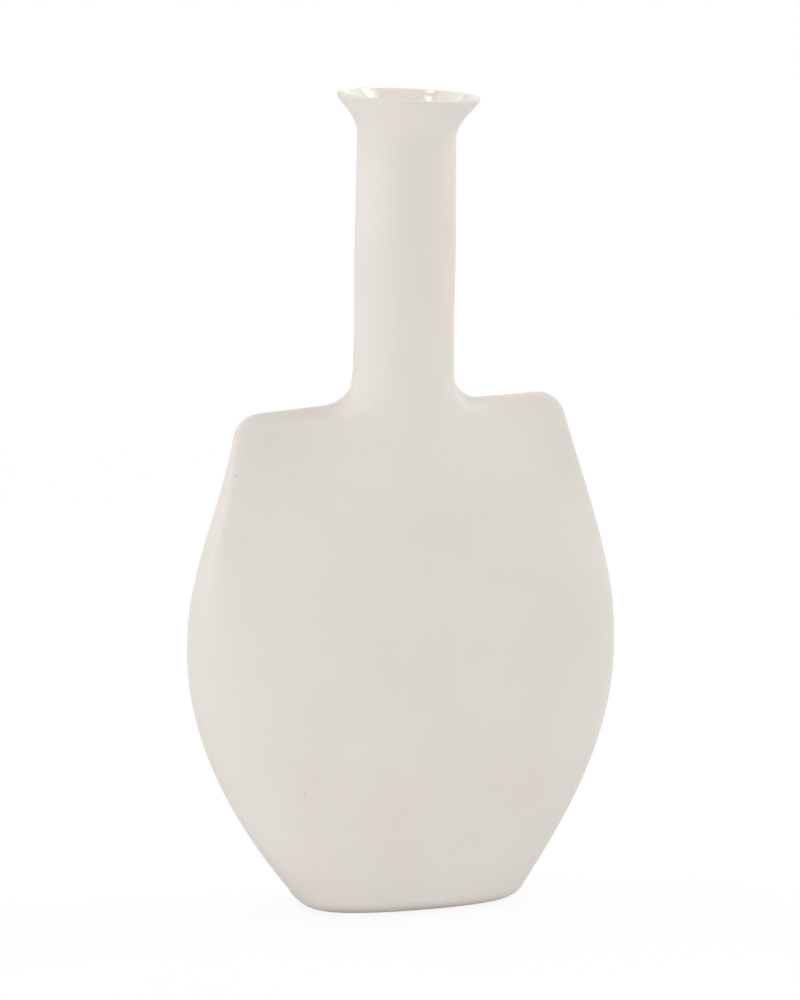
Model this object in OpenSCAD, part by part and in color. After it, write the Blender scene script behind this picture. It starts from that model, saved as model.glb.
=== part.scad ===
// A tall flask vase of hand-built stoneware: a flat body, pinched thin along its
// shoulders, with a long round neck that leans a little and a flared mouth.
// Z is up, X runs along the width, and the origin is on the ground under the
// middle of the body. Front is the side that faces -Y.

/* [Body] */
// Width of the body at the belly
belly_w = 217.5; // [190:0.5:250]
// Depth of the body at the belly, front to back
belly_d = 72; // [58:1:90]
// Height of the widest place above the ground
belly_z = 126.5; // [105:0.5:145]
// How far the outline keeps upright below the belly
belly_pull_low = 54; // [35:1:60]
// How far the outline keeps upright above the belly
belly_pull_high = 40.5; // [30:0.5:50]

/* [Foot] */
// Width of the foot before its edge is rounded
foot_w = 120; // [95:1:140]
// Depth of the foot before its edge is rounded, front to back
foot_d = 65; // [52:1:72]
// Radius of the rounded edge of the foot
foot_r = 12; // [8:0.5:14]
// Angle of the outline where it leaves the foot, from the ground
foot_angle = 54; // [45:1:60]
// How far the outline keeps straight above the foot
foot_pull = 24.5; // [18:0.5:40]
// How far the foot sits to the right of the belly
foot_shift = 2; // [0:0.5:4]
// Thickness of the base slab
base_t = 7; // [6:0.5:9]
// Width of the ring that the vase stands on
foot_ring_w = 9; // [7:0.5:12]
// Hollow of the underside
foot_hollow = 1.5; // [1:0.25:2]

/* [Shoulder] */
// Width of the body where the sides start to turn over
corner_w = 171; // [150:1:190]
// Height of that place above the ground
corner_z = 236; // [220:1:255]
// Radius of the shoulder's corners
corner_r = 14; // [10:0.5:17]
// Angle of the sides there, inwards from upright
side_angle = 5; // [0:0.5:12]
// How far the outline keeps that angle below the corner
corner_pull = 28; // [20:1:46]
// Fall of the shoulders from the neck outwards
shoulder_fall = 0.2; // [0:0.1:2]
// Tilt of the shoulders, right end up
shoulder_tilt = 1.1; // [0:0.1:2]
// Thickness of the pinched shoulder edge
pinch_d = 7; // [6:0.5:9]
// Clay luted solid below the shoulder edge
seam_d = 7.5; // [6:0.5:9]

/* [Neck] */
// Outer radius of the neck
neck_r = 24.4; // [20:0.2:28]
// Thickness of the neck's wall
neck_wall = 3.5; // [3:0.25:4]
// Radius of the sweep between shoulder and neck
neck_sweep_r = 17; // [12:0.5:20]
// Lean of the neck to the right
neck_lean = 1.1; // [0:0.1:2]
// Length of the straight neck
neck_l = 114.5; // [90:0.5:140]

/* [Mouth] */
// Height of the flared lip
lip_h = 19.2; // [16:0.2:23]
// Outer radius of the rim
rim_r = 34.7; // [31:0.1:40]
// Thickness of the rim
rim_t = 2.6; // [2.2:0.1:3.2]
// How far the flare keeps upright above the neck
lip_pull_low = 8; // [6:0.5:10]
// How far the flare keeps its direction below the rim
lip_pull_high = 4.2; // [3:0.1:8]
// Angle of the flare at the rim, from upright
rim_angle = 24; // [15:1:35]
// Tilt of the mouth against the neck, right side down
mouth_tilt = 1.5; // [0:0.1:3]

/* [Clay and glaze] */
// Thickness of the body's walls
wall = 4; // [3.5:0.25:4.5]
// Half the narrowest depth of the hollow under the shoulders
slit_d = 1; // [0.8:0.1:1.2]
// Thickness of the glaze inside
glaze_t = 0.5; // [0.3:0.1:0.6]

/* [Hidden] */
$fn = 96;

clay = [0.84, 0.81, 0.78];
glaze = [0.93, 0.92, 0.88];

// Cuts run past what they cut by this much
overrun = 5;

// Shares that shape the cross-section of the body
edge_share = 0.55;        // part of the half-depth that the side strips carry at the belly
belly_square_shares = 3.2; // squareness of the section's ends at the belly
foot_square_shares = 3.6;  // the same at the foot
corner_square_shares = 9;  // the same at the shoulder, where the strips are crisp
fade_share = 0.7;         // part of the height over which the crisp edge fades

// Columns round the body and rows along the outline: two fine ones to each coarse one
cols = 72;
heel_rows = 2;
foot_rows = 4;
low_rows = 8;
high_rows = 10;
corner_rows = 4;
top_rows = 4;
sweep_rows = 6;

// Outline, as stations [x, z, heading]; heading 0 runs outwards and 90 runs up
function ahead(h) = [cos(h), sin(h)];
function station(p, h) = [p.x, p.y, h];
function place(s) = [s.x, s.y];
function turned(p, h0, h, r) = p + sign(h - h0) * r * (ahead(h - 90) - ahead(h0 - 90));
function arc_rows(p, h0, h1, r, n) =
    [for (i = [1:n]) let (h = h0 + (h1 - h0) * i / n) station(turned(p, h0, h, r), h)];
function line_rows(p, h, l, n) = [for (i = [1:n]) station(p + ahead(h) * l * i / n, h)];
function bend(p, t) = p[0] * pow(1 - t, 3) + 3 * p[1] * t * pow(1 - t, 2)
    + 3 * p[2] * t * t * (1 - t) + p[3] * pow(t, 3);
function bend_way(p, t) = (p[1] - p[0]) * pow(1 - t, 2) + 2 * (p[2] - p[1]) * t * (1 - t)
    + (p[3] - p[2]) * t * t;
function bend_rows(p, shares) =
    [for (t = shares) let (d = bend_way(p, t)) station(bend(p, t), atan2(d.y, d.x))];

foot_start = [foot_w / 2 - foot_r, 0];
foot_arc = arc_rows(foot_start, 0, foot_angle, foot_r, foot_rows);
foot_end = place(foot_arc[foot_rows - 1]);
belly = [belly_w / 2, belly_z];
corner = [corner_w / 2, corner_z];
side_heading = 90 + side_angle;
top_heading = 180 - shoulder_fall;
heel_l = (base_t - foot_end.y) / sin(foot_angle);
heel_line = line_rows(foot_end, foot_angle, heel_l, heel_rows);
heel_end = place(heel_line[heel_rows - 1]);
low_bend = [heel_end, heel_end + foot_pull * ahead(foot_angle), belly - [0, belly_pull_low], belly];
high_bend = [belly, belly + [0, belly_pull_high], corner - corner_pull * ahead(side_heading), corner];
low_shares = [for (i = [1:low_rows]) i / low_rows];
high_shares = [for (i = [1:high_rows]) i / high_rows];
corner_arc = arc_rows(corner, side_heading, top_heading, corner_r, corner_rows);
corner_end = place(corner_arc[corner_rows - 1]);
sweep_reach = turned([0, 0], top_heading, 90, neck_sweep_r);
sweep_start_x = neck_r - sweep_reach.x;
top_l = (sweep_start_x - corner_end.x) / cos(top_heading);
top_line = line_rows(corner_end, top_heading, top_l, top_rows);
sweep_start = place(top_line[top_rows - 1]);
sweep_arc = arc_rows(sweep_start, top_heading, 90, neck_sweep_r, sweep_rows);

stations = concat([station(foot_start, 0)], foot_arc, heel_line, bend_rows(low_bend, low_shares),
                  bend_rows(high_bend, high_shares), corner_arc, top_line, sweep_arc);
base_row = foot_rows + heel_rows;
corner_row = base_row + low_rows + high_rows;
top_row = corner_row + corner_rows;
sweep_row = top_row + top_rows;
last_row = sweep_row + sweep_rows;
neck_z = stations[last_row].y;
shoulder_z = corner_end.y;

// Length along the outline up to each row
runs = [for (i = 0, s = 0; i <= last_row;
             s = s + (i < last_row ? norm(place(stations[i + 1]) - place(stations[i])) : 0), i = i + 1) s];

function ease(t) = let (c = max(0, min(1, t))) c * c * (3 - 2 * c);
function mix(a, b, t) = a + (b - a) * t;
function held(t) = max(0, min(1, t));

// What shapes the cross-section at each row. The middle of a shoulder row climbs the neck.
function climb(i) = held((runs[i] - runs[corner_row]) / (runs[last_row] - runs[corner_row]));
function middle_z(i) = mix(stations[min(i, corner_row)].y, neck_z, climb(i));
function rise(i) = held((shoulder_z - middle_z(i)) / (shoulder_z - belly_z));   // 1 at the belly
function fall(i) = held(stations[i].y / belly_z);                                // 0 at the foot
function swept(i) = held((runs[i] - runs[sweep_row]) / (runs[last_row] - runs[sweep_row]));
function is_high(i) = stations[i].y >= belly_z;
function foot_inset(i) = i < foot_rows ? foot_end.x - stations[i].x : 0;
function half_d(i) = is_high(i) ? mix(neck_r, belly_d / 2, ease(rise(i)))
    : mix(foot_d / 2, belly_d / 2, sin(90 * fall(i))) - foot_inset(i);
function edge_d(i) = is_high(i)
    ? mix(pinch_d / 2, edge_share * belly_d / 2, sin(90 * rise(i))) * (1 - ease(swept(i)))
    : edge_share * half_d(i);
function ridge(i) = let (own = pow(stations[i].x / neck_r, 2) / 2)
    is_high(i) ? mix(own, 1 / 2, 1 - pow(1 - rise(i), 3)) : 1 / 2;
function square(i) = is_high(i)
    ? mix(belly_square_shares, corner_square_shares, ease((1 - rise(i)) / fade_share))
    : mix(foot_square_shares, belly_square_shares, ease(fall(i)));
function tilt(i) =
    let (up = held((stations[i].y - belly_z) / (shoulder_z - belly_z)))
    mix(-shoulder_tilt * up, neck_lean, swept(i));
function shift(i) = foot_shift * (1 - fall(i));

// A point of row i at angle t round the body, for half-width a, height z at the
// ends, half-depth b in the middle and e at the ends
function section_point(i, t, a, z, b, e) =
    let (u = min(1, abs(cos(t))), k = square(i), x = a * cos(t),
         side = abs(sin(t)) < 1e-9 ? 0 : sign(sin(t)),
         end = pow(1 - pow(u, k), 1 / k), crown = pow(1 - u * u, ridge(i)))
    [x + shift(i), side * (e * end + (b - e) * crown),
     mix(z, middle_z(i), pow(1 - u * u, 3) * sign(climb(i))) - x * tan(tilt(i))];

function outer_point(i, t) =
    let (s = stations[i]) section_point(i, t, s.x, s.y, half_d(i), edge_d(i));

// The hollow: the outline moved inwards by the wall, and further along the luted shoulders
function wall_at(i) = i <= corner_row ? wall
    : i <= top_row ? mix(wall, seam_d, (i - corner_row) / (top_row - corner_row))
    : mix(seam_d, neck_wall, ease(swept(i)));
function settle(i) = held((i - base_row) / (low_rows / 2));   // 0 on the slab, where the floor is flat
function inner_point(i, t, coat) =
    let (s = stations[i], w = wall_at(i) + coat, flat = settle(i),
         a = s.x - w * mix(1 / sin(s.z), sin(s.z), flat),
         z = s.y + w * cos(s.z) * flat + (1 - flat) * coat,
         side_w = mix(wall, neck_wall, swept(i)),
         e = (max(edge_d(i) - wall, slit_d) - coat) * (1 - ease(swept(i))),
         b = half_d(i) - side_w - coat)
    section_point(i, t, a, z, b, e);

angles = [for (j = [0:cols - 1]) 360 * j / cols];
coarse_angles = [for (j = [0:2:cols - 1]) angles[j]];
outer_points = [for (i = [0:last_row], t = angles) outer_point(i, t)];
inner_points = [for (i = [base_row:2:last_row], t = coarse_angles) inner_point(i, t, 0)];

// Shells are made of cells: two by two fine faces outside, one coarse face inside.
// A cell shows an edge face where its neighbour is another piece.
half = cols / 2;
function fine(i, j) = i * cols + (j % cols);
function coarse(i, j) = len(outer_points) + (i - base_row / 2) * half + (j % half);
function edge_face(a, b, c, p, q) = [[p, a, b], [p, b, q], [q, b, c]];
function flipped(faces) = [for (f = faces) [f[2], f[1], f[0]]];
function cell_faces(i, j, below, above, before, after) =
    let (y = 2 * i, x = 2 * j)
    concat(
        [for (v = [0:1], w = [0:1], f = [
            [fine(y + v, x + w), fine(y + v + 1, x + w), fine(y + v + 1, x + w + 1)],
            [fine(y + v, x + w), fine(y + v + 1, x + w + 1), fine(y + v, x + w + 1)]]) f],
        [[coarse(i, j), coarse(i, j + 1), coarse(i + 1, j + 1)],
         [coarse(i, j), coarse(i + 1, j + 1), coarse(i + 1, j)]],
        below ? [] : edge_face(fine(y, x), fine(y, x + 1), fine(y, x + 2),
                               coarse(i, j), coarse(i, j + 1)),
        above ? [] : flipped(edge_face(fine(y + 2, x), fine(y + 2, x + 1), fine(y + 2, x + 2),
                                       coarse(i + 1, j), coarse(i + 1, j + 1))),
        before ? [] : flipped(edge_face(fine(y, x), fine(y + 1, x), fine(y + 2, x),
                                        coarse(i, j), coarse(i + 1, j))),
        after ? [] : edge_face(fine(y, x + 2), fine(y + 1, x + 2), fine(y + 2, x + 2),
                               coarse(i, j + 1), coarse(i + 1, j + 1)));

// Which piece holds the cell in coarse row i and column j
strip_cols = 1;
function is_strip(j) = let (k = (j + strip_cols) % (half / 2)) k < 2 * strip_cols;
function piece_of(i, j) =
    i >= sweep_row / 2 ? "neck_collar"
    : i >= top_row / 2 || !is_strip(j % half) ? (j % half < half / 2 ? "back_wall" : "front_wall")
    : (j + strip_cols) % half < half / 2 ? "right_side" : "left_side";

module shell(name) {
    low = base_row / 2;
    high = last_row / 2 - 1;
    faces = [for (i = [low:high], j = [0:half - 1])
        if (piece_of(i, j) == name)
            each cell_faces(i, j,
                            i > low && piece_of(i - 1, j) == name,
                            i < high && piece_of(i + 1, j) == name,
                            piece_of(i, j + half - 1) == name,
                            piece_of(i, j + 1) == name)];
    polyhedron(concat(outer_points, inner_points), faces);
}

// A closed solid through rings of points, each ring joined to the next, with a flat cap at each end
module stack(rings) {
    n = len(rings[0]);
    last = (len(rings) - 1) * n;
    polyhedron([for (r = rings, p = r) p], concat(
        [[for (j = [0:n - 1]) j]],
        [for (i = [0:n:last - n], j = [0:n - 1], f = [
            [i + j, i + n + j, i + n + (j + 1) % n], [i + j, i + n + (j + 1) % n, i + (j + 1) % n]]) f],
        [[for (j = [n - 1:-1:0]) last + j]]));
}

// Frames of the neck and of the mouth: each leans against the one below
module neck_frame() {
    translate([0, 0, neck_z]) rotate([0, neck_lean, 0]) children();
}

module mouth_frame() {
    translate([0, 0, neck_l]) rotate([0, mouth_tilt, 0]) children();
}

// A round tube that ends on the mouth's plane
module neck_sleeve(r, t) {
    difference() {
        cylinder(r = r, h = neck_l + overrun);
        translate([0, 0, -overrun]) cylinder(r = r - t, h = neck_l + 3 * overrun);
        mouth_frame() translate([-r - overrun, -r - overrun, 0])
            cube([2 * r + 2 * overrun, 2 * r + 2 * overrun, 3 * overrun]);
    }
}

// The flare of the lip, from the neck's outside up to the rim, and the rim's round edge
lip_rows = 12;
rim_rows = 8;
rim_out = [rim_r, lip_h - rim_t / 2];
lip_bend = [[neck_r, 0], [neck_r, lip_pull_low], rim_out - lip_pull_high * ahead(90 - rim_angle), rim_out];
lip_shares = [for (i = [0:lip_rows]) i / lip_rows];
lip_stations = bend_rows(lip_bend, lip_shares);
rim_heading = 90 - rim_angle;
rim_arc = arc_rows(rim_out, rim_heading, rim_heading + 180, rim_t / 2, rim_rows);
lip_inside = [for (i = [lip_rows:-1:0]) let (s = lip_stations[i])
    station(place(s) - mix(neck_wall, rim_t, lip_shares[i]) * ahead(s.z - 90), s.z + 180)];

// The coat follows the clay from the neck up to the crest of the rim, where it thins out
coat_path = concat([for (i = [rim_rows / 2 - 1:rim_rows - 2]) rim_arc[i]], lip_inside);
coat_thins = rim_rows / 2;
function coat_at(i) = glaze_t * ease(i / coat_thins);

module base_slab() {
    under = [for (lift = [foot_hollow, 0]) let (inset = foot_ring_w + lift, b = half_d(0) - inset)
        [for (t = angles) section_point(0, t, foot_start.x - inset, lift, b, edge_share * b)]];
    color(clay)
        stack(concat(under, [for (i = [0:base_row]) [for (t = angles) outer_point(i, t)]]));
}

module front_wall() {
    color(clay) shell("front_wall");
}

module back_wall() {
    color(clay) shell("back_wall");
}

module left_side() {
    color(clay) shell("left_side");
}

module right_side() {
    color(clay) shell("right_side");
}

module neck_collar() {
    color(clay) shell("neck_collar");
}

module neck_tube() {
    color(clay) neck_frame() neck_sleeve(neck_r, neck_wall);
}

module lip() {
    color(clay) neck_frame() mouth_frame() rotate_extrude()
        polygon([for (s = concat(lip_stations, rim_arc, [for (i = [1:lip_rows]) lip_inside[i]])) place(s)]);
}

module chamber_glaze() {
    rows = [base_row:2:last_row];
    color(glaze) stack(concat(
        [for (i = rows) [for (t = coarse_angles) inner_point(i, t, 0)]],
        [for (i = [last_row:-2:base_row]) [for (t = coarse_angles) inner_point(i, t, glaze_t)]]));
}

module neck_glaze() {
    color(glaze) neck_frame() neck_sleeve(neck_r - neck_wall, glaze_t);
}

module mouth_glaze() {
    n = len(coat_path) - 1;
    color(glaze) neck_frame() mouth_frame() rotate_extrude()
        polygon(concat([for (s = coat_path) place(s)],
                       [for (i = [n:-1:1]) let (s = coat_path[i]) place(s) + coat_at(i) * ahead(s.z - 90)]));
}

base_slab();
front_wall();
back_wall();
left_side();
right_side();
neck_collar();
neck_tube();
lip();
chamber_glaze();
neck_glaze();
mouth_glaze();
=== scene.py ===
from math import cos, radians, sin, tan

import bmesh
import bpy
import numpy as np
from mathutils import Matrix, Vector


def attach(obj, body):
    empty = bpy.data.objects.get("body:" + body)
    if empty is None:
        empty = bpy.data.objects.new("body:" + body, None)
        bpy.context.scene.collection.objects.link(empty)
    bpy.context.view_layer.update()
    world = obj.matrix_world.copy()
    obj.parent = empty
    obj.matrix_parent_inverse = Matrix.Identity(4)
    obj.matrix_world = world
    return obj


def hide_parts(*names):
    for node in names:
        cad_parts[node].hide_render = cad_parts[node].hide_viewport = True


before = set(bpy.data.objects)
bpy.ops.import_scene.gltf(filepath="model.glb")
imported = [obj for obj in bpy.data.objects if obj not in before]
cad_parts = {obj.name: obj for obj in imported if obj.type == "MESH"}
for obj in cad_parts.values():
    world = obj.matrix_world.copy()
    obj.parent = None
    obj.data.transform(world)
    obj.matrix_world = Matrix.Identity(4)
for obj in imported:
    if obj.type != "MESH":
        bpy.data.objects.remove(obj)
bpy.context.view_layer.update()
bpy.ops.object.select_all(action="DESELECT")
print("packed model loaded:", len(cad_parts), "nodes")

# Camera, at the photo's own viewpoint

view = {
    "turn": 18.2,  # degrees to the left of straight in front
    "rise": 9.95,  # degrees above level
    "distance": 2.6,
    "aim": (0, 0, 0.2),
    "lens": 191.06,
    "photoHeight": 1000,  # pixels
    "aimLiesOff": (2.7, 1.4),  # pixels to the right of and below the photo's middle
}


def makeCamera():
    turn, rise = radians(view["turn"]), radians(view["rise"])
    ahead = Vector((sin(turn) * cos(rise), cos(turn) * cos(rise), -sin(rise)))
    bpy.ops.object.camera_add(location=Vector(view["aim"]) - ahead * view["distance"])
    camera = bpy.context.object
    camera.name = "photoCamera"
    camera.rotation_euler = ahead.to_track_quat("-Z", "Y").to_euler()
    camera.data.lens = view["lens"]
    camera.data.shift_x = -view["aimLiesOff"][0] / view["photoHeight"]
    camera.data.shift_y = view["aimLiesOff"][1] / view["photoHeight"]
    bpy.context.scene.camera = camera


makeCamera()
print("camera in place")

# The vase's form. Lengths are in metres and angles in degrees. Its outline is walked in rows, from
# the foot's flat underside up to the neck, and each row is a ring round the body.

body = {
    "halfWidth": 0.10875,
    "depth": 0.072,
    "widestAt": 0.1265,
    "wall": 0.004,
    "endShare": 0.55,  # of the half-depth, carried by the side strips
    "squareness": 3.2,
    "bow": 0.5,  # of the faces across the body: the exponent that makes them part of an ellipse
    "leastSine": 0.1,  # of the slope, where a wall's thickness is measured level
    "lowRows": 24,
    "highRows": 32,
}

# A hand-built body isn't the same on both sides. A corner is given as its distance from the middle
# and its height, and the sweep up to the neck is narrowed sideways to a share.
sides = {
    "left": {
        "footEdge": 0.0599,
        "footRadius": 0.012,
        "footAngle": 59.8,
        "footStraight": 0.0062,
        "uprightBelow": 0.0611,
        "uprightAbove": 0.0417,
        "sideStraight": 0.0438,
        "sideAngle": 8.3,
        "corner": (0.0856, 0.2367),
        "cornerRadius": 0.0128,
        "sweepNarrowed": 1,
    },
    "right": {
        "footEdge": 0.06,
        "footRadius": 0.0125,
        "footAngle": 55.1,
        "footStraight": 0.0273,
        "uprightBelow": 0.0539,
        "uprightAbove": 0.0319,
        "sideStraight": 0.0495,
        "sideAngle": 14.7,
        "corner": (0.08325, 0.24013),
        "cornerRadius": 0.0142,
        "sweepNarrowed": 0.9,
    },
}

foot = {
    "depth": 0.0668,
    "shift": 0.002,
    "slab": 0.007,
    "ringWidth": 0.009,
    "hollow": 0.0015,
    "hollowSlope": 0.003,
    "squareness": 3.6,
    "edgeRows": 8,
    "heelRows": 2,
}

shoulder = {
    "tilt": 0.33,
    "pinch": 0.0055,
    "pinchSpread": 1.25,
    "flank": 0.007,  # how far below the crest the neck's ridge has its full thickness
    "archShare": 0.88,  # of the half-width at the sweep's start, within which rings arch to the neck
    "seam": 0.0075,
    "slit": 0.001,
    "squareness": 9,
    "crispFadeShare": 0.7,
    "ridgeFade": 3,
    "roundFromRow": 6,  # counted down from the corner
    "cornerRows": 12,
    "topRows": 14,
    "fittingRounds": 6,
}

neck = {
    "radius": 0.0244,
    "bore": 0.0209,
    "start": 0.265885,
    "aside": 0.00037,  # how far the neck stands to the right
    "drift": -0.00047,  # and how far it comes back over its length
    "lean": 1.1,
    "length": 0.1145,
    "sweep": 0.01614,
    "footSwell": 0.0003,
    "footSwellShare": 0.14,
    "swells": ((0, 0), (0.25, 0.00001), (0.5, 0.00029), (0.75, -0.00007), (1, -0.00033)),
    "sweepRows": 14,
    "rows": 40,
}

# Every piece but the mouth's two starts as a sleeve of radius 1, with a ring for each row
sleeve = {
    "columns": 288,
    "wall": 0.5,  # as thick as it needs to be before its points are pressed
    "stripTurn": 10,  # degrees to each side of the body's ends that the strips take up
    "stripSpread": 25,  # degrees of the sleeve that go to them, so that columns are finer there
    "sharpFrom": 50,  # degrees between two faces whose edge stays sharp
}

tiny = 1e-6


def towards(angle):
    return np.array((cos(radians(angle)), sin(radians(angle))))


def ease(t):
    t = np.clip(t, 0, 1)
    return t * t * (3 - 2 * t)


def mix(a, b, t):
    return a + (b - a) * t


# Stretches of an outline, as stations of (across, up, the way that it runs in degrees)


def arcRows(start, first, last, radius, rows):
    side = 1 if last > first else -1
    angles = [mix(first, last, n / rows) for n in range(1, rows + 1)]
    return [(*(start + side * radius * (towards(a - 90) - towards(first - 90))), a) for a in angles]


def lineRows(start, end, rows):
    angle = np.degrees(np.arctan2(end[1] - start[1], end[0] - start[0]))
    return [(*mix(start, end, n / rows), angle) for n in range(1, rows + 1)]


def bendRows(a, b, c, d, rows):
    # A Bezier curve from a to d
    stations = []
    for t in (n / rows for n in range(1, rows + 1)):
        place = a * (1 - t) ** 3 + 3 * b * t * (1 - t) ** 2 + 3 * c * t * t * (1 - t) + d * t**3
        way = (b - a) * (1 - t) ** 2 + 2 * (c - b) * t * (1 - t) + (d - c) * t * t
        stations.append((*place, np.degrees(np.arctan2(way[1], way[0]))))
    return stations


def placeOf(station):
    return np.array(station[:2])


def walkOutline(side):
    # Round the foot's edge, up the heel and over the belly to the corner, and in along the shoulder
    flatEnd = np.array((side["footEdge"] - side["footRadius"], 0))
    footArc = arcRows(flatEnd, 0, side["footAngle"], side["footRadius"], foot["edgeRows"])
    low = placeOf(footArc[-1])
    rest = (foot["slab"] - low[1]) / sin(radians(side["footAngle"]))
    heelEnd = low + towards(side["footAngle"]) * rest
    belly = np.array((body["halfWidth"], body["widestAt"]))
    corner = np.array(side["corner"])
    sideways = 90 + side["sideAngle"]
    stations = [(*flatEnd, 0)] + footArc + lineRows(low, heelEnd, foot["heelRows"])
    stations += bendRows(heelEnd, heelEnd + towards(side["footAngle"]) * side["footStraight"],
                         belly - (0, side["uprightBelow"]), belly, body["lowRows"])
    stations += bendRows(belly, belly + (0, side["uprightAbove"]),
                         corner - towards(sideways) * side["sideStraight"], corner, body["highRows"])

    # The shoulder's line and both its arcs depend on its fall, so they are fitted in rounds
    sweepEnd = np.array((neck["radius"] + neck["footSwell"], neck["start"]))
    narrowed = np.array((side["sweepNarrowed"], 1))
    inwards = 180
    for _ in range(shoulder["fittingRounds"]):
        turnOver = arcRows(corner, sideways, inwards, side["cornerRadius"], shoulder["cornerRows"])
        wholeSweep = arcRows(np.zeros(2), inwards, 90, neck["sweep"], 1)
        sweepStart = sweepEnd - placeOf(wholeSweep[0]) * narrowed
        top = lineRows(placeOf(turnOver[-1]), sweepStart, shoulder["topRows"])
        inwards = top[0][2] % 360
    sweep = [(*(sweepStart + (x, z) * narrowed), angle) for x, z, angle
             in arcRows(np.zeros(2), inwards, 90, neck["sweep"], neck["sweepRows"])]
    return stations + turnOver + top + sweep


edgeRow = foot["edgeRows"]
baseRow = edgeRow + foot["heelRows"]
bellyRow = baseRow + body["lowRows"]
cornerRow = bellyRow + body["highRows"]
topRow = cornerRow + shoulder["cornerRows"]
sweepRow = topRow + shoulder["topRows"]
lastRow = sweepRow + neck["sweepRows"]


def shapeRows(side):
    # Works out what shapes the ring of each row, as one list per quantity
    across, up, way = np.array(walkOutline(side)).T
    count = np.arange(lastRow + 1)
    above = count >= bellyRow
    belly, shoulderTop = body["widestAt"], up[topRow]
    neckFoot = neck["radius"] + neck["footSwell"]
    footWall = neckFoot - neck["bore"]
    half = body["depth"] / 2

    # Shares of the way along the outline, of the height and of the rows
    run = np.concatenate(((0,), np.cumsum(np.hypot(np.diff(across), np.diff(up)))))
    climb = np.clip((run - run[cornerRow]) / (run[lastRow] - run[cornerRow]), 0, 1)
    swept = np.clip((run - run[sweepRow]) / (run[lastRow] - run[sweepRow]), 0, 1)
    share = np.clip((run - run[cornerRow]) / (run[sweepRow] - run[cornerRow]), 0, 1)
    cornerShare = np.clip((count - cornerRow) / shoulder["cornerRows"], 0, 1)
    topShare = np.clip((count - cornerRow) / (sweepRow - cornerRow), 0, 1)
    roundRows = shoulder["roundFromRow"] + shoulder["cornerRows"]
    roundShare = (count - cornerRow + shoulder["roundFromRow"]) / roundRows
    aboveBelly = np.clip((up - belly) / (shoulderTop - belly), 0, 1)
    falling = np.clip(up / belly, 0, 1)

    # From the corner up a ring's middle climbs ahead of its ends, and sags between the two
    middleUp = mix(up[np.minimum(count, cornerRow)], neck["start"], climb)
    sag = mix(up[np.minimum(count, cornerRow)], up[np.maximum(count, sweepRow)], share)
    rising = np.clip((shoulderTop - middleUp) / (shoulderTop - belly), 0, 1)
    fall = (up[sweepRow] - up[topRow]) / (across[topRow] - across[sweepRow])

    # Half-depths in the middle and at the ends
    edgeInset = np.where(count < edgeRow, across[edgeRow] - across, 0)
    bulge = np.sin(np.pi / 2 * rising) ** shoulder["pinchSpread"]
    depth = np.where(above, mix(neckFoot, half, ease(rising)),
                     mix(foot["depth"] / 2, half, np.sin(np.pi / 2 * falling)) - edgeInset)
    pinched = mix(shoulder["pinch"] / 2, body["endShare"] * half, bulge)
    ends = np.where(above, pinched * (1 - ease(swept)), body["endShare"] * depth)
    ownRidge = (across / neckFoot) ** 2 / 2
    ridge = mix(ownRidge, body["bow"], 1 - (1 - rising) ** shoulder["ridgeFade"])
    crisp = ease((1 - rising) / shoulder["crispFadeShare"])
    return {
        "across": across,
        "up": up,
        "slope": np.radians(way),
        "climb": climb,
        "swept": swept,
        "sag": sag,
        "arch": middleUp - sag,
        "archHalf": np.minimum(across, shoulder["archShare"] * across[sweepRow]),
        "depth": depth,
        "ends": ends,
        "round": ease(roundShare),
        "ridge": np.where(above, ridge, body["bow"]),
        "squareness": np.where(above, mix(body["squareness"], shoulder["squareness"], crisp),
                               mix(foot["squareness"], body["squareness"], ease(falling))),
        "tilt": np.radians(mix(-shoulder["tilt"] * aboveBelly, neck["lean"], swept)),
        "shift": foot["shift"] * (1 - falling) + neck["aside"] * ease(swept),
        "fall": fall * cornerShare * (1 - swept),
        "settled": np.clip((count - baseRow) / (body["lowRows"] / 2), 0, 1),
        "wall": mix(mix(body["wall"], shoulder["seam"], topShare), footWall, ease(swept)),
        "faceWall": mix(body["wall"], footWall, swept),
    }


forms = {name: shapeRows(side) for name, side in sides.items()}
print("outline walked:", lastRow, "rows up to the neck")


def toOutline(form, x, z):
    # The distance to the outline's nearest stretch, above the belly
    a = np.column_stack((form["across"], form["up"]))[bellyRow:]
    a = np.concatenate((a, [a[-1] + (0, neck["length"])]))
    stretch = np.diff(a, axis=0)
    off = np.stack((np.abs(x), z), axis=-1)[:, None] - a[:-1]
    share = np.clip((off * stretch).sum(-1) / (stretch**2).sum(-1), 0, 1)
    return np.sqrt(((off - share[..., None] * stretch) ** 2).sum(-1).min(-1))


def ringPoint(form, row, turn, halfWidth, height, depth, ends, rounded):
    u = np.minimum(1, np.abs(np.cos(turn)))
    x = halfWidth * np.cos(turn)
    arched = (1 - np.minimum(1, np.abs(x) / form["archHalf"][row]) ** 2) ** 3
    level = height + form["fall"][row] * (halfWidth - np.abs(x))
    z = mix(level, form["sag"][row], (1 - u * u) ** 2 * (form["climb"][row] > 0))
    z = z + form["arch"][row] * arched
    square = form["squareness"][row]
    end = (1 - u**square) ** (1 / square)
    ridge = (1 - u * u) ** form["ridge"][row]
    if rounded:  # the edge becomes as round as it's thick, and the ridge starts below it
        gap = toOutline(form, x, z)
        nose = np.sqrt(1 - np.clip(1 - gap / np.maximum(ends, tiny), 0, 1) ** 2)
        end = mix(end, nose, form["round"][row])
        flank = -shoulder["flank"] * np.cos(form["slope"][row])
        ridge = ridge * ease(gap / np.maximum(flank, tiny))
    y = ends * end + (depth - ends) * ridge
    side = np.where(np.abs(np.sin(turn)) < tiny, 0, np.sign(np.sin(turn)))
    return np.column_stack((x + form["shift"][row], side * y, z - x * np.tan(form["tilt"][row])))


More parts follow.
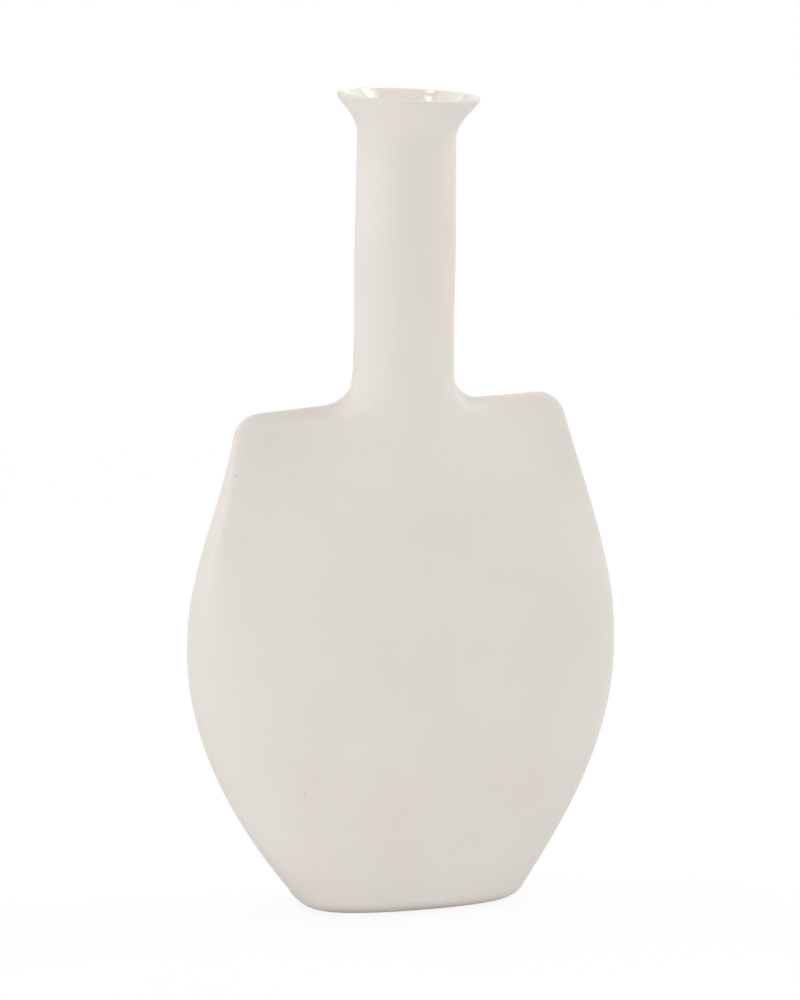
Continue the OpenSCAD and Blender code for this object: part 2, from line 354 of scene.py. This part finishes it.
def sidePoint(form, row, turn, inside, coat):
    # A place on the clay's outside, or inside it on the clay or on a coat of glaze
    across, up, slope = form["across"][row], form["up"][row], form["slope"][row]
    ends, depth = form["ends"][row], form["depth"][row]
    outer = ringPoint(form, row, turn, across, up, depth, ends, True)
    thick, settled = form["wall"][row] + coat, form["settled"][row]
    inset = thick * mix(1 / np.maximum(np.sin(slope), body["leastSine"]), np.sin(slope), settled)
    height = up + thick * np.cos(slope) * settled + (1 - settled) * coat
    innerEnds = np.maximum(ends - body["wall"], shoulder["slit"]) - coat
    innerEnds = innerEnds * (1 - ease(form["swept"][row]))
    innerDepth = depth - form["faceWall"][row] - coat
    inner = ringPoint(form, row, turn, across - inset, height, innerDepth, innerEnds, False)
    return np.where(inside[:, None], inner, outer)


def spread(turn):
    # The sleeve's columns crowd towards the body's two ends, where it bends most
    stripTurn, stripSpread = radians(sleeve["stripTurn"]), radians(sleeve["stripSpread"])
    crowding = 2 * (stripSpread - stripTurn) / sin(2 * stripSpread)
    return turn - crowding * np.sin(2 * turn) / 2


def bodyPoint(row, turn, inside, coat=0.0):
    # The left side's form passes into the right side's round the ring
    turn = spread(turn)
    right = ease((np.cos(turn) + 1) / 2)[:, None]
    row = np.clip(row, 0, lastRow)
    return mix(sidePoint(forms["left"], row, turn, inside, coat),
               sidePoint(forms["right"], row, turn, inside, coat), right)


def leaned(points, lean, start):
    c, s = cos(radians(lean)), sin(radians(lean))
    x, y, z = np.asarray(points, dtype=float).T
    return np.column_stack((x * c + z * s, y, z * c - x * s)) + start


def neckSwell(share):
    places, swells = np.array(neck["swells"]).T
    step = np.clip(np.searchsorted(places, share, side="right") - 1, 0, len(places) - 2)
    along = ease((share - places[step]) / (places[step + 1] - places[step]))
    foot = np.maximum(0, 1 - share / neck["footSwellShare"]) ** 2
    return mix(swells[step], swells[step + 1], along) + neck["footSwell"] * foot


def neckPoint(share, turn, inside, coat=0.0):
    turn = spread(turn)
    radius = np.where(inside, neck["bore"] - coat, neck["radius"] + neckSwell(share))
    x, y = radius * np.cos(turn), radius * np.sin(turn)
    z = share * (neck["length"] - x * tan(radians(mouth["tilt"])))
    return leaned(np.column_stack((x + neck["drift"] * share, y, z)), neck["lean"], neckStart)


neckStart = np.array((neck["aside"], 0, neck["start"]))

mouth = {
    "height": 0.01907,
    "rimRadius": 0.0347,
    "rimThickness": 0.0026,
    "uprightLow": 0.00735,
    "straightHigh": 0.00375,
    "rimAngle": 24.4,
    "tilt": 1.66,
    "dip": 0.0005,  # how far the front of the rim hangs
    "glaze": 0.0005,
    "bareRows": 3,  # of the rim, past its crest, before the glaze starts
    "rows": 24,
    "rimRows": 14,
}

mouthStart = leaned([(neck["drift"], 0, neck["length"])], neck["lean"], neckStart)[0]
mouthLean = neck["lean"] + mouth["tilt"]


def drawMouth():
    # Stations of the mouth's outside, of the rim's round edge and of the inside, in that order
    start = np.array((neck["radius"] + neck["swells"][-1][1], 0))
    rimOut = np.array((mouth["rimRadius"], mouth["height"] - mouth["rimThickness"] / 2))
    rimWay = 90 - mouth["rimAngle"]
    outside = [(*start, 90)] + bendRows(start, start + (0, mouth["uprightLow"]),
                                        rimOut - towards(rimWay) * mouth["straightHigh"], rimOut,
                                        mouth["rows"])
    rim = arcRows(rimOut, rimWay, rimWay + 180, mouth["rimThickness"] / 2, mouth["rimRows"])
    inside = []
    for n in range(mouth["rows"] - 1, -1, -1):
        x, z, angle = outside[n]
        thick = mix(start[0] - neck["bore"], mouth["rimThickness"], n / mouth["rows"])
        inside.append((*(np.array((x, z)) - thick * towards(angle - 90)), angle + 180))
    return outside, rim, inside


mouthOutside, mouthRim, mouthInside = drawMouth()

# Making a piece. Its sleeve is cut to the piece and given a thickness. Then the sleeve's points are
# pressed to their places in the clay.


def select(piece):
    bpy.ops.object.select_all(action="DESELECT")
    piece.select_set(True)
    bpy.context.view_layer.objects.active = piece


def edit(*steps):
    bpy.ops.object.mode_set(mode="EDIT")
    for step in steps:
        step()
    bpy.ops.object.mode_set(mode="OBJECT")


def addSleeve(name, firstRow, rows, ends="NOTHING"):
    bpy.ops.object.select_all(action="DESELECT")
    bpy.ops.mesh.primitive_cylinder_add(vertices=sleeve["columns"], radius=1, depth=rows,
                                        end_fill_type=ends, location=(0, 0, firstRow + rows / 2),
                                        rotation=(0, 0, radians(-90)))
    piece = bpy.context.object
    piece.name = piece.data.name = name
    bpy.ops.object.transform_apply(location=True, rotation=True)

    def cutRows():
        bpy.ops.mesh.select_mode(type="EDGE")
        bpy.ops.mesh.select_all(action="DESELECT")
        mesh = bmesh.from_edit_mesh(piece.data)
        for edge in mesh.edges:
            edge.select_set(abs(edge.verts[0].co.z - edge.verts[1].co.z) > rows / 2)
        bmesh.update_edit_mesh(piece.data)
        bpy.ops.mesh.subdivide(number_cuts=rows - 1)

    edit(cutRows)
    return piece


def selectFaces(piece, picks):
    bpy.ops.mesh.select_mode(type="FACE")
    bpy.ops.mesh.select_all(action="DESELECT")
    mesh = bmesh.from_edit_mesh(piece.data)
    for face in mesh.faces:
        face.select_set(bool(picks(face.calc_center_median())))
    bmesh.update_edit_mesh(piece.data)


def thicken(piece):
    wall = piece.modifiers.new("wall", "SOLIDIFY")
    wall.thickness = sleeve["wall"]
    wall.offset = -1
    bpy.ops.object.modifier_apply(modifier="wall")


def readNet(piece):
    flat = np.empty(len(piece.data.vertices) * 3)
    piece.data.vertices.foreach_get("co", flat)
    x, y, z = flat.reshape(-1, 3).T
    return np.rint(z).astype(int), np.arctan2(y, x)


def readWall(piece):
    # The inner points come after the outer ones in the same order. They take the outer ones' turn,
    # so that the ends of two walls meet face to face.
    row, turn = readNet(piece)
    outerCount = len(turn) // 2
    return row, np.tile(turn[:outerCount], 2), np.arange(len(turn)) >= outerCount


def press(piece, places):
    piece.data.vertices.foreach_set("co", np.asarray(places, dtype=float).ravel())
    piece.data.update()


def makeSkin():
    # The whole outside in one, which lends its smooth shading to the pieces
    skin = addSleeve("wholeSkin", 0, lastRow + neck["rows"])
    row, turn = readNet(skin)
    inner = np.zeros(len(row), bool)
    onNeck = neckPoint(np.clip((row - lastRow) / neck["rows"], 0, 1), turn, inner)
    press(skin, np.where((row <= lastRow)[:, None], bodyPoint(row, turn, inner), onNeck))
    bpy.ops.object.shade_smooth()
    return skin


skin = makeSkin()
print("whole skin pressed:", len(skin.data.polygons), "faces")


def finishPiece(piece, node, material, onSkin=None):
    select(piece)
    bpy.ops.object.shade_smooth_by_angle(angle=radians(sleeve["sharpFrom"]))
    if onSkin is not None:
        group = piece.vertex_groups.new(name="skin")
        group.add([int(n) for n in np.flatnonzero(onSkin)], 1.0, "REPLACE")
        seams = piece.modifiers.new("seams", "DATA_TRANSFER")
        seams.object = skin
        seams.use_loop_data = True
        seams.data_types_loops = {"CUSTOM_NORMAL"}
        seams.loop_mapping = "NEAREST_POLYNOR"
        seams.vertex_group = "skin"
        bpy.ops.object.modifier_apply(modifier="seams")
    piece.data.materials.clear()
    piece.data.materials.append(material)
    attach(piece, "root")
    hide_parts(node)
    print(piece.name, "made:", len(piece.data.polygons), "faces")


# Materials. Scales are per metre, and each bump is given as its strength and its distance.


def newMaterial(name):
    material = bpy.data.materials.new(name)
    material.use_nodes = True
    tree = material.node_tree
    where = tree.nodes.new("ShaderNodeTexCoord").outputs["Object"]
    return material, tree, tree.nodes["Principled BSDF"], where


def addNoise(tree, where, scale, detail, stretch=None):
    if stretch:
        mapping = tree.nodes.new("ShaderNodeMapping")
        mapping.inputs["Scale"].default_value = stretch
        tree.links.new(where, mapping.inputs["Vector"])
        where = mapping.outputs["Vector"]
    texture = tree.nodes.new("ShaderNodeTexNoise")
    texture.inputs["Scale"].default_value = scale
    texture.inputs["Detail"].default_value = detail
    tree.links.new(where, texture.inputs["Vector"])
    return texture.outputs["Fac"]


def addRamp(tree, value, places, colours):
    ramp = tree.nodes.new("ShaderNodeValToRGB")
    for point, place, colour in zip(ramp.color_ramp.elements, places, colours):
        point.position = place
        point.color = (*colour, 1)
    tree.links.new(value, ramp.inputs["Fac"])
    return ramp.outputs["Color"]


def addRange(tree, value, low, high, fromLow=0.0, fromHigh=1.0):
    node = tree.nodes.new("ShaderNodeMapRange")
    numbers = {"From Min": fromLow, "From Max": fromHigh, "To Min": low, "To Max": high}
    for socket, number in numbers.items():
        node.inputs[socket].default_value = number
    tree.links.new(value, node.inputs["Value"])
    return node.outputs["Result"]


def addMath(tree, operation, a, b):
    node = tree.nodes.new("ShaderNodeMath")
    node.operation = operation
    for socket, value in zip(node.inputs, (a, b)):
        if isinstance(value, (int, float)):
            socket.default_value = value
        else:
            tree.links.new(value, socket)
    return node.outputs["Value"]


def addBump(tree, height, strength, distance, normal=None):
    bump = tree.nodes.new("ShaderNodeBump")
    bump.inputs["Strength"].default_value = strength
    bump.inputs["Distance"].default_value = distance
    tree.links.new(height, bump.inputs["Height"])
    if normal:
        tree.links.new(normal, bump.inputs["Normal"])
    return bump.outputs["Normal"]


bisque = {
    "colours": ((0.705, 0.66, 0.616), (0.73, 0.687, 0.648)),  # the mottle's deep and pale tones
    "colourPlaces": (0.35, 0.65),
    "mottle": 22,
    "mottleDetail": 5,
    "speck": (0.27, 0.21, 0.16),
    "speckCells": 300,
    "speckEdge": (0.08, 0.14),  # of a cell, over which a speck fades out
    "speckRarity": 0.9983,  # share of the cells that have none
    "roughness": (0.72, 0.9),
    "specular": 0.25,
    "handMarks": 55,
    "handMarksDetail": 3,
    "handMarksStretch": (1, 1, 2.2),  # they are wider than tall
    "handMarksBump": (0.3, 0.001),
    "grain": 1400,
    "grainDetail": 2,
    "grainBump": (0.25, 0.00025),
}


def makeBisque():
    material, tree, shader, where = newMaterial("bisque")
    mottle = addNoise(tree, where, bisque["mottle"], bisque["mottleDetail"])
    colour = addRamp(tree, mottle, bisque["colourPlaces"], bisque["colours"])
    cells = tree.nodes.new("ShaderNodeTexVoronoi")
    cells.inputs["Scale"].default_value = bisque["speckCells"]
    tree.links.new(where, cells.inputs["Vector"])
    near = addRange(tree, cells.outputs["Distance"], 1, 0, *bisque["speckEdge"])
    picked = tree.nodes.new("ShaderNodeSeparateColor")
    tree.links.new(cells.outputs["Color"], picked.inputs["Color"])
    rare = addRange(tree, picked.outputs["Red"], 0, 1, bisque["speckRarity"], 1)
    blend = tree.nodes.new("ShaderNodeMix")
    blend.data_type = "RGBA"
    blend.inputs["B"].default_value = (*bisque["speck"], 1)
    tree.links.new(addMath(tree, "MULTIPLY", near, rare), blend.inputs["Factor"])
    tree.links.new(colour, blend.inputs["A"])
    tree.links.new(blend.outputs["Result"], shader.inputs["Base Color"])
    tree.links.new(addRange(tree, mottle, *bisque["roughness"]), shader.inputs["Roughness"])
    handMarks = addNoise(tree, where, bisque["handMarks"], bisque["handMarksDetail"],
                         bisque["handMarksStretch"])
    grain = addNoise(tree, where, bisque["grain"], bisque["grainDetail"])
    normal = addBump(tree, handMarks, *bisque["handMarksBump"])
    normal = addBump(tree, grain, *bisque["grainBump"], normal)
    tree.links.new(normal, shader.inputs["Normal"])
    shader.inputs["Specular IOR Level"].default_value = bisque["specular"]
    return material


glaze = {
    "colours": ((0.71, 0.665, 0.605), (0.765, 0.73, 0.675)),  # where it's thin and where it pooled
    "colourPlaces": (0.3, 0.7),
    "pooling": 40,
    "poolingDetail": 4,
    "roughness": 0.1,
    "ripple": 110,
    "rippleDetail": 2,
    "rippleBump": (0.3, 0.001),
}


def makeGlaze():
    material, tree, shader, where = newMaterial("glaze")
    pooling = addNoise(tree, where, glaze["pooling"], glaze["poolingDetail"])
    colour = addRamp(tree, pooling, glaze["colourPlaces"], glaze["colours"])
    tree.links.new(colour, shader.inputs["Base Color"])
    shader.inputs["Roughness"].default_value = glaze["roughness"]
    ripple = addNoise(tree, where, glaze["ripple"], glaze["rippleDetail"])
    tree.links.new(addBump(tree, ripple, *glaze["rippleBump"]), shader.inputs["Normal"])
    return material


clayMaterial = makeBisque()
glazeMaterial = makeGlaze()
print("materials ready")

# The foot: a slab that stands on a ring round its slightly hollow underside


def makeFoot():
    piece = addSleeve("footSlab", 0, baseRow, ends="NGON")
    row, turn = readNet(piece)
    press(piece, bodyPoint(row, turn, np.zeros(len(row), bool)))
    edit(lambda: selectFaces(piece, lambda middle: middle.z < tiny),
         lambda: bpy.ops.mesh.inset(thickness=foot["ringWidth"]),
         lambda: bpy.ops.mesh.inset(thickness=foot["hollowSlope"], depth=-foot["hollow"]),
         lambda: bpy.ops.mesh.poke())
    onSkin = np.arange(len(piece.data.vertices)) < len(row)
    finishPiece(piece, "base_slab", clayMaterial, onSkin)


makeFoot()

# The walls: two draped panels, with a strip let in at each end. Each keeps the faces of the sleeve
# whose row and angle are its own.


def onPanel(row, angle):
    return row > topRow or min(abs(angle), 180 - abs(angle)) > sleeve["stripSpread"]


walls = {
    "frontPanel": ("front_wall", sweepRow, lambda row, angle: angle < 0 and onPanel(row, angle)),
    "backPanel": ("back_wall", sweepRow, lambda row, angle: angle > 0 and onPanel(row, angle)),
    "leftStrip": ("left_side", topRow, lambda row, angle: abs(angle) > 180 - sleeve["stripSpread"]),
    "rightStrip": ("right_side", topRow, lambda row, angle: abs(angle) < sleeve["stripSpread"]),
}


def makeWalls():
    for name, (node, endRow, keeps) in walls.items():
        piece = addSleeve(name, baseRow, endRow - baseRow)

        def isSpare(middle):
            return not keeps(middle.z, np.degrees(np.arctan2(middle.y, middle.x)))

        edit(lambda: selectFaces(piece, isSpare),
             lambda: bpy.ops.mesh.delete(type="FACE"))
        thicken(piece)
        row, turn, inner = readWall(piece)
        press(piece, bodyPoint(row, turn, inner))
        finishPiece(piece, node, clayMaterial, ~inner)


makeWalls()

# The collar that sweeps up from the shoulders, and the neck on it


def makeCollar():
    piece = addSleeve("collar", sweepRow, lastRow - sweepRow)
    thicken(piece)
    row, turn, inner = readWall(piece)
    press(piece, bodyPoint(row, turn, inner))
    finishPiece(piece, "neck_collar", clayMaterial, ~inner)


def makeNeck():
    piece = addSleeve("neck", 0, neck["rows"])
    thicken(piece)
    row, turn, inner = readWall(piece)
    press(piece, neckPoint(row / neck["rows"], turn, inner))
    finishPiece(piece, "neck_tube", clayMaterial, ~inner)


makeCollar()
makeNeck()

# The mouth: a profile spun round the mouth's own axis, which tips a little to the right


def spinProfile(name, node, material, profile):
    bpy.ops.object.select_all(action="DESELECT")
    bpy.ops.mesh.primitive_circle_add(vertices=len(profile), radius=mouth["rimRadius"])
    piece = bpy.context.object
    piece.name = piece.data.name = name
    press(piece, leaned([(x, 0, z) for x, z, _ in profile], mouthLean, mouthStart))
    axis = Vector((sin(radians(mouthLean)), 0, cos(radians(mouthLean))))
    edit(lambda: bpy.ops.mesh.select_all(action="SELECT"),
         lambda: bpy.ops.mesh.spin(steps=sleeve["columns"], angle=radians(360),
                                   center=mouthStart, axis=axis),
         lambda: bpy.ops.mesh.select_all(action="SELECT"),
         lambda: bpy.ops.mesh.remove_doubles(threshold=tiny),
         lambda: bpy.ops.mesh.normals_make_consistent(inside=False))
    places = np.array([vertex.co for vertex in piece.data.vertices])
    along = (places - mouthStart) @ np.array(axis) / mouth["height"]
    turn = np.arctan2(places[:, 1], places[:, 0] - mouthStart[0])
    dip = mouth["dip"] * np.clip(-np.sin(turn), 0, 1) ** 2 * np.clip(along, 0, 1) ** 2
    press(piece, places - dip[:, None] * np.array(axis))
    finishPiece(piece, node, material)


def coatProfile():
    # Down the clay from just past the rim's crest, and back up over the glaze, which thins out there
    crest = mouth["rimRows"] // 2 + mouth["bareRows"]
    clay = mouthRim[crest - 1:] + mouthInside
    coat = []
    for n in range(len(clay) - 1, 0, -1):
        x, z, angle = clay[n]
        thick = mouth["glaze"] * ease(n / mouth["rimRows"])
        coat.append((*(np.array((x, z)) + thick * towards(angle - 90)), angle))
    return clay + coat


spinProfile("mouthRing", "lip", clayMaterial, mouthOutside + mouthRim + mouthInside)
spinProfile("mouthGlazing", "mouth_glaze", glazeMaterial, coatProfile())

# The glaze inside the neck and the body


def makeNeckGlazing():
    piece = addSleeve("neckGlazing", 0, neck["rows"])
    thicken(piece)
    row, turn, inner = readWall(piece)
    coat = np.where(inner, mouth["glaze"], 0)
    press(piece, neckPoint(row / neck["rows"], turn, np.ones(len(row), bool), coat))
    finishPiece(piece, "neck_glaze", glazeMaterial)


def makeBodyGlazing():
    # Rows go up along the clay and down again over the glaze, with the floor at both ends
    rise = lastRow - baseRow
    piece = addSleeve("bodyGlazing", 0, 2 * rise + 1, ends="NGON")
    row, turn = readNet(piece)
    overClay = row > rise
    realRow = baseRow + np.where(overClay, 2 * rise + 1 - row, row)
    coat = np.where(overClay, mouth["glaze"], 0)
    press(piece, bodyPoint(realRow, turn, np.ones(len(row), bool), coat))
    finishPiece(piece, "chamber_glaze", glazeMaterial)


makeNeckGlazing()
makeBodyGlazing()
bpy.data.objects.remove(skin)

# Floor, backdrop and lights

studio = {
    "floorSize": 40,
    "floorColour": (0.88, 0.88, 0.88),
    "floorRoughness": 0.9,
    "whiteShare": 0.88,  # of plain white in the floor that the camera sees round the vase
    "whiteFade": (0.3, 1.5),  # metres from the vase over which it fades to plain white
    "white": (1, 1, 1, 1),
    "ambient": 0.51,
    "lampDistance": 2,
}

# Degrees to the right of straight in front and above level. The two windows are small and weak, and
# only make the highlights in the glazed mouth.
lamps = {
    "leftFront": {"turn": -40, "rise": 12, "size": (1.6, 1.1), "power": 13.2},
    "leftBehind": {"turn": -130, "rise": 42, "size": (1.8, 1.8), "power": 14.7},
    "right": {"turn": 85, "rise": 42, "size": (1.0, 1.0), "power": 9.9},
    "rightLow": {"turn": 82, "rise": 12, "size": (1.6, 1.1), "power": 5.6},
    "rightBehind": {"turn": 133, "rise": 42, "size": (1.8, 1.8), "power": 8.8},
    "leftWindow": {"turn": -99, "rise": 71, "size": (0.35, 0.4), "power": 3.2},
    "rightWindow": {"turn": 103, "rise": 55, "size": (0.15, 0.5), "power": 2.1},
}


def makeLamps():
    aim = Vector(view["aim"])
    for name, lamp in lamps.items():
        turn, rise = radians(lamp["turn"]), radians(lamp["rise"])
        outwards = Vector((sin(turn) * cos(rise), -cos(turn) * cos(rise), sin(rise)))
        bpy.ops.object.light_add(type="AREA", location=aim + outwards * studio["lampDistance"])
        light = bpy.context.object
        light.name = name
        light.rotation_euler = (-outwards).to_track_quat("-Z", "Y").to_euler()
        light.data.shape = "RECTANGLE"
        light.data.size, light.data.size_y = lamp["size"]
        light.data.energy = lamp["power"]


def seenDirectly(tree):
    # 1 for what the camera or a reflection shows, and 0 for what lights the vase
    rays = tree.nodes.new("ShaderNodeLightPath").outputs
    mirrored = addMath(tree, "MAXIMUM", rays["Is Glossy Ray"], rays["Is Transmission Ray"])
    return addMath(tree, "MAXIMUM", rays["Is Camera Ray"], mirrored)


def makeWorld():
    world = bpy.data.worlds.new("studio")
    bpy.context.scene.world = world
    world.use_nodes = True
    tree = world.node_tree
    ambient = tree.nodes["Background"]
    ambient.inputs["Color"].default_value = studio["white"]
    ambient.inputs["Strength"].default_value = studio["ambient"]
    white = tree.nodes.new("ShaderNodeBackground")
    white.inputs["Color"].default_value = studio["white"]
    blend = tree.nodes.new("ShaderNodeMixShader")
    tree.links.new(seenDirectly(tree), blend.inputs["Fac"])
    tree.links.new(ambient.outputs["Background"], blend.inputs[1])
    tree.links.new(white.outputs["Background"], blend.inputs[2])
    tree.links.new(blend.outputs["Shader"], tree.nodes["World Output"].inputs["Surface"])


def makeFloor():
    bpy.ops.mesh.primitive_plane_add(size=studio["floorSize"])
    floor = bpy.context.object
    floor.name = "floor"
    material, tree, shader, where = newMaterial("floorPaper")
    shader.inputs["Base Color"].default_value = (*studio["floorColour"], 1)
    shader.inputs["Roughness"].default_value = studio["floorRoughness"]
    away = tree.nodes.new("ShaderNodeVectorMath")
    away.operation = "LENGTH"
    tree.links.new(where, away.inputs[0])
    fade = addRange(tree, away.outputs["Value"], studio["whiteShare"], 1, *studio["whiteFade"])
    white = tree.nodes.new("ShaderNodeEmission")
    blend = tree.nodes.new("ShaderNodeMixShader")
    tree.links.new(addMath(tree, "MULTIPLY", fade, seenDirectly(tree)), blend.inputs["Fac"])
    tree.links.new(shader.outputs["BSDF"], blend.inputs[1])
    tree.links.new(white.outputs["Emission"], blend.inputs[2])
    tree.links.new(blend.outputs["Shader"], tree.nodes["Material Output"].inputs["Surface"])
    floor.data.materials.append(material)


makeLamps()
makeWorld()
makeFloor()
bpy.context.scene.view_settings.view_transform = "Standard"
print("studio lit")
